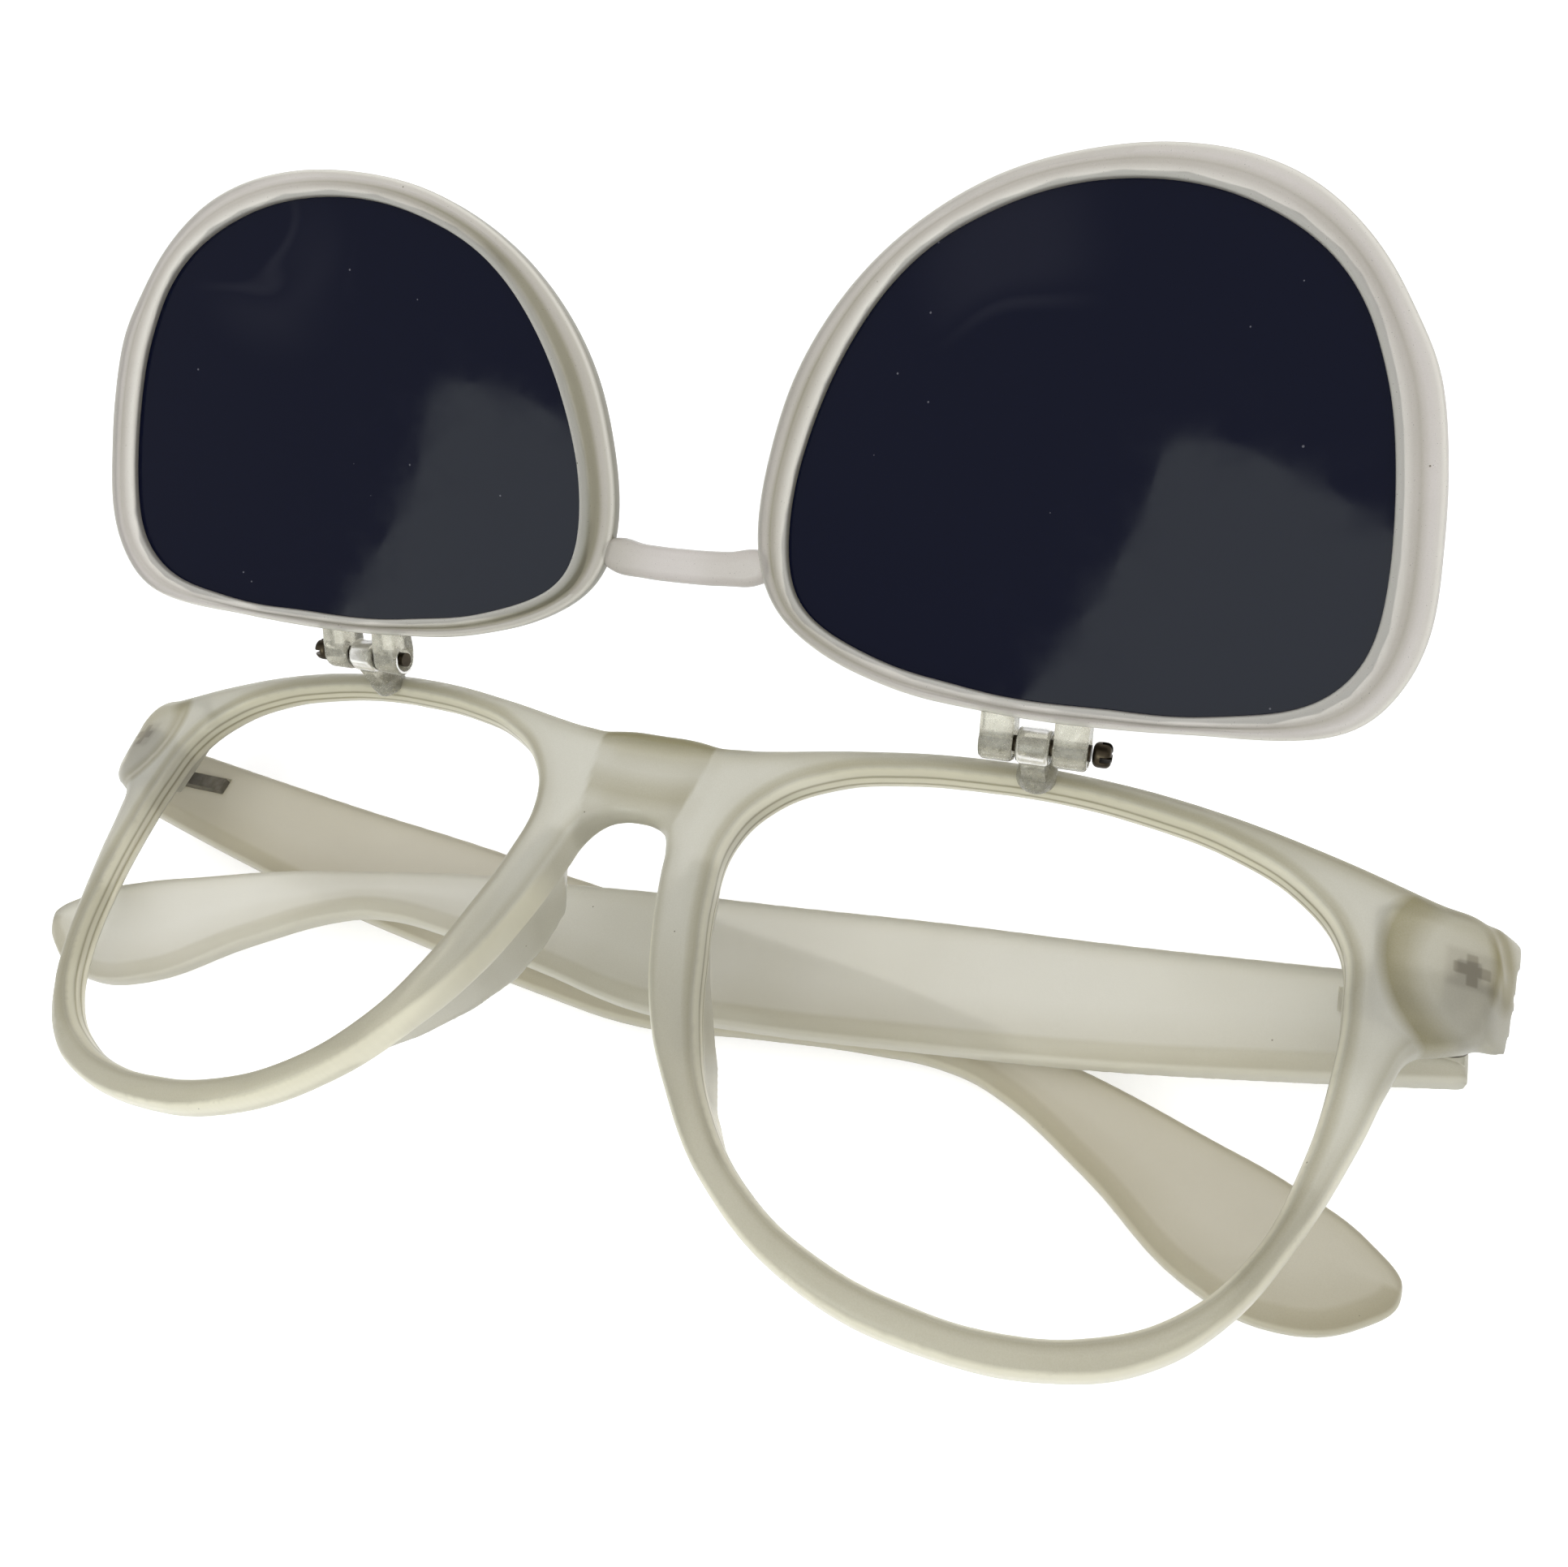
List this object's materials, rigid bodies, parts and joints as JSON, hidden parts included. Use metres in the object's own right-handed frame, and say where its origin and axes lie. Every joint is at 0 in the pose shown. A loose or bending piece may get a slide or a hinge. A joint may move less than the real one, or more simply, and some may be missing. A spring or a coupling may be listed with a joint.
{
  "type": "kaleidoscope glasses",
  "caption": "Frosted plastic kaleidoscope glasses with clear diffraction lenses, folding temples and a hinged flip-up front with dark tinted lenses, shown flipped up.",
  "frame": {"origin": "on the surface that the glasses lie on, under the middle of their bounding box, lying on their folded temples with the front facing up", "axes": "+X towards the wearer's left, +Y up the wearer's face from the nose to the brow, +Z out of the front, away from the wearer's face"},
  "size_m": [0.146, 0.0774, 0.0588],
  "materials": {
    "frosted_plastic": "frosted, see-through, slightly yellow at the edges",
    "frosted_flip_plastic": "frosted, see-through, pale",
    "clear_plastic": "clear, moulded",
    "clear_lens": "clear sheet with a diffraction pattern too fine to see",
    "tinted_lens": "very dark navy, polished",
    "hinge_steel": "plain",
    "screw_steel": "dark, slightly tarnished"
  },
  "bodies": {
    "frame": {"main_frame": "frosted_plastic", "left_diffraction_lens": "clear_lens", "right_diffraction_lens": "clear_lens", "left_flip_hinge_lug": "clear_plastic", "right_flip_hinge_lug": "clear_plastic", "left_frame_hinge_leaf": "hinge_steel", "right_frame_hinge_leaf": "hinge_steel", "left_temple_hinge_screw": "screw_steel", "right_temple_hinge_screw": "screw_steel"},
    "flip_front": {"left_flip_rim": "frosted_flip_plastic", "right_flip_rim": "frosted_flip_plastic", "flip_bridge_bar": "frosted_flip_plastic", "left_tinted_lens": "tinted_lens", "right_tinted_lens": "tinted_lens", "left_flip_hinge_inner_ear": "clear_plastic", "left_flip_hinge_outer_ear": "clear_plastic", "right_flip_hinge_inner_ear": "clear_plastic", "right_flip_hinge_outer_ear": "clear_plastic", "left_flip_hinge_screw": "screw_steel", "right_flip_hinge_screw": "screw_steel"},
    "left_temple_arm": {"left_temple": "frosted_plastic", "left_temple_hinge_leaf": "hinge_steel"},
    "right_temple_arm": {"right_temple": "frosted_plastic", "right_temple_hinge_leaf": "hinge_steel"}
  },
  "joints": [
    {"name": "flip_hinge", "type": "hinge", "parent": "frame", "child": "flip_front", "pos_m": [0, 0.00783, 0.02467], "axis": [1, 0, 0], "range_deg": [0, 135]},
    {"name": "left_temple_hinge", "type": "hinge", "parent": "frame", "child": "left_temple_arm", "pos_m": [0.06865, -0.00087, 0.00702], "axis": [0, -1, 0], "range_deg": [0, 90]},
    {"name": "right_temple_hinge", "type": "hinge", "parent": "frame", "child": "right_temple_arm", "pos_m": [-0.06865, -0.00087, 0.00702], "axis": [0, 1, 0], "range_deg": [0, 90]}
  ]
}
